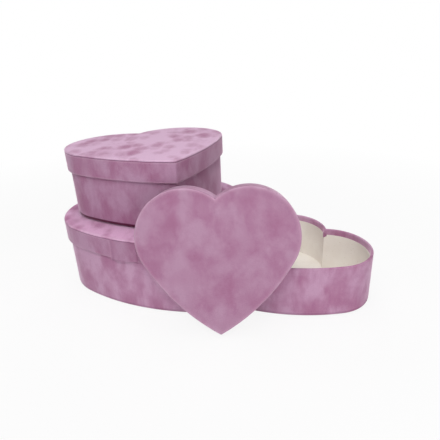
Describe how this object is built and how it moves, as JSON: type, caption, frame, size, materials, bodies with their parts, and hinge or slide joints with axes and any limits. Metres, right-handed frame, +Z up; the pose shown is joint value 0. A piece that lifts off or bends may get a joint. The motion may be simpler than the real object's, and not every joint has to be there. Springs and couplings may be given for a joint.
{
  "type": "heart gift box set",
  "caption": "Nesting set of velvet-covered heart gift boxes with lift-off lids: closed boxes stacked, an open one beside them and its lid leaning in front.",
  "frame": {"origin": "on the table, under the large box, on its heart's axis at the level of the lobes' centres", "axes": "+Z up, -Y towards the front, where the leaning lid stands, +X to the right"},
  "size_m": [0.4495, 0.3148, 0.2096],
  "materials": {
    "velvet": "matte",
    "greyboard": "matte",
    "liner_paper": "matte",
    "bottom_card": "matte"
  },
  "bodies": {
    "large_base": {"large_base_floor_board": "greyboard", "large_base_wall_board_left": "greyboard", "large_base_wall_board_right": "greyboard", "large_base_wrap": "velvet", "large_base_bottom_cover": "bottom_card", "large_base_floor_liner": "liner_paper", "large_base_wall_liner": "liner_paper"},
    "large_lid": {"large_lid_top_board": "greyboard", "large_lid_rim_board_left": "greyboard", "large_lid_rim_board_right": "greyboard", "large_lid_top_wrap": "velvet", "large_lid_rim_wrap": "velvet", "large_lid_top_liner": "liner_paper", "large_lid_rim_liner": "liner_paper"},
    "medium_base": {"medium_base_floor_board": "greyboard", "medium_base_wall_board_left": "greyboard", "medium_base_wall_board_right": "greyboard", "medium_base_wrap": "velvet", "medium_base_bottom_cover": "bottom_card", "medium_base_floor_liner": "liner_paper", "medium_base_wall_liner": "liner_paper"},
    "medium_lid": {"medium_lid_top_board": "greyboard", "medium_lid_rim_board_left": "greyboard", "medium_lid_rim_board_right": "greyboard", "medium_lid_top_wrap": "velvet", "medium_lid_rim_wrap": "velvet", "medium_lid_top_liner": "liner_paper", "medium_lid_rim_liner": "liner_paper"},
    "small_base": {"small_base_floor_board": "greyboard", "small_base_wall_board_left": "greyboard", "small_base_wall_board_right": "greyboard", "small_base_wrap": "velvet", "small_base_bottom_cover": "bottom_card", "small_base_floor_liner": "liner_paper", "small_base_wall_liner": "liner_paper"},
    "small_lid": {"small_lid_top_board": "greyboard", "small_lid_rim_board_left": "greyboard", "small_lid_rim_board_right": "greyboard", "small_lid_top_wrap": "velvet", "small_lid_rim_wrap": "velvet", "small_lid_top_liner": "liner_paper", "small_lid_rim_liner": "liner_paper"}
  },
  "joints": [
    {"name": "large_lid_lift", "type": "slide", "parent": "large_base", "child": "large_lid", "axis": [0, 0, 1], "range_m": [0, 0.08]},
    {"name": "medium_box_lift", "type": "slide", "parent": "large_lid", "child": "medium_base", "axis": [0, 0, 1], "range_m": [0, 0.08]},
    {"name": "medium_lid_lift", "type": "slide", "parent": "medium_base", "child": "medium_lid", "axis": [0, 0, 1], "range_m": [0, 0.08]},
    {"name": "small_base_slide", "type": "slide", "parent": "large_base", "child": "small_base", "axis": [1, 0, 0], "range_m": [0, 0.12]},
    {"name": "small_lid_draw", "type": "slide", "parent": "large_lid", "child": "small_lid", "axis": [-0.1007, -0.974, 0.2028], "range_m": [0, 0.12]}
  ]
}
